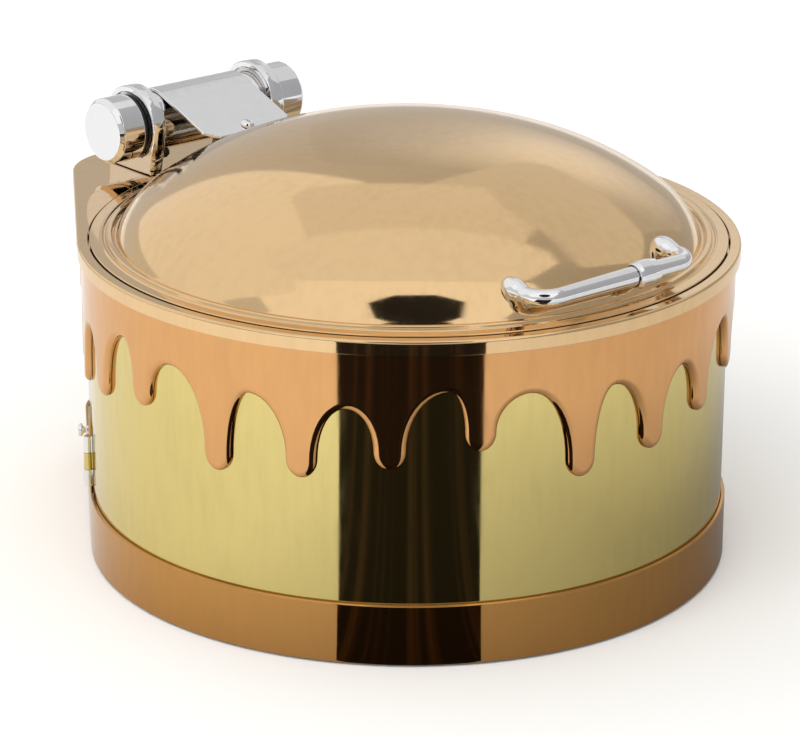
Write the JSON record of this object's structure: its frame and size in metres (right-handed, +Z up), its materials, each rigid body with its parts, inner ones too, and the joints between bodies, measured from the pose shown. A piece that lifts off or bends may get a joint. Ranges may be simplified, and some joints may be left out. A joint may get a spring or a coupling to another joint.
{
  "type": "roll top chafer",
  "caption": "Round chafer with a domed lift-up lid on a damped tubular hinge, nested pans, drip-edged skirt, side door and swing-lid burner.",
  "frame": {"origin": "on the floor plane under the centre of the round drum; the middle rubber pad's flat face", "axes": "+Z up; +Y from the front handle towards the rear hinge housing; +X completes a right-handed frame, along the hinge tube"},
  "size_m": [0.409, 0.4645, 0.269],
  "materials": {
    "pale_gold": "pale gold mirror-polished plating on stainless steel",
    "rose_gold": "rose gold mirror-polished plating on stainless steel",
    "chrome": "bright mirror-polished steel",
    "steel": "satin stainless steel",
    "black": "black moulded or blackened",
    "rubber": "matt black rubber"
  },
  "bodies": {
    "body": {"drum_shell": "pale_gold", "base_skirt": "rose_gold", "drip_skirt": "rose_gold", "top_deck": "rose_gold", "floor_plate": "steel", "foot_centre": "rubber", "foot_front_left": "rubber", "foot_front_right": "rubber", "foot_rear_left": "rubber", "foot_rear_right": "rubber", "water_pan": "steel", "food_pan": "steel", "lid_seal": "rubber", "hinge_cheek_left": "chrome", "hinge_cheek_right": "chrome", "hinge_bush_left": "steel", "hinge_bush_right": "steel", "hinge_cap_left": "chrome", "hinge_cap_right": "chrome", "cap_ring_left": "black", "cap_ring_right": "black", "hinge_axle": "steel", "damper_core": "rubber", "stop_screw_left": "black", "stop_screw_right": "black", "door_hinge_pin": "chrome", "burner_cup": "steel"},
    "lid": {"lid_shell": "rose_gold", "handle_arm_left": "chrome", "handle_arm_right": "chrome", "handle_collar": "chrome", "handle_screw_left": "steel", "handle_screw_right": "steel", "block_screw_left": "steel", "block_screw_right": "steel", "hinge_tube": "chrome", "hinge_leaf": "chrome", "leaf_block": "steel", "leaf_screw": "chrome"},
    "side_door": {"side_door": "pale_gold", "door_knob": "chrome"},
    "burner_lid": {"burner_lid": "steel"}
  },
  "joints": [
    {"name": "lid_hinge", "type": "hinge", "parent": "body", "child": "lid", "pos_m": [0, 0.2158, 0.2327], "axis": [-1, 0, 0], "range_deg": [0, 90]},
    {"name": "side_door_hinge", "type": "hinge", "parent": "body", "child": "side_door", "pos_m": [-0.16415, 0.11549, 0.058], "axis": [0, 0, 1], "range_deg": [0, 100]},
    {"name": "burner_lid_swing", "type": "hinge", "parent": "body", "child": "burner_lid", "pos_m": [0, 0.046, 0.056], "axis": [0, 0, 1], "range_deg": [0, 110]}
  ]
}
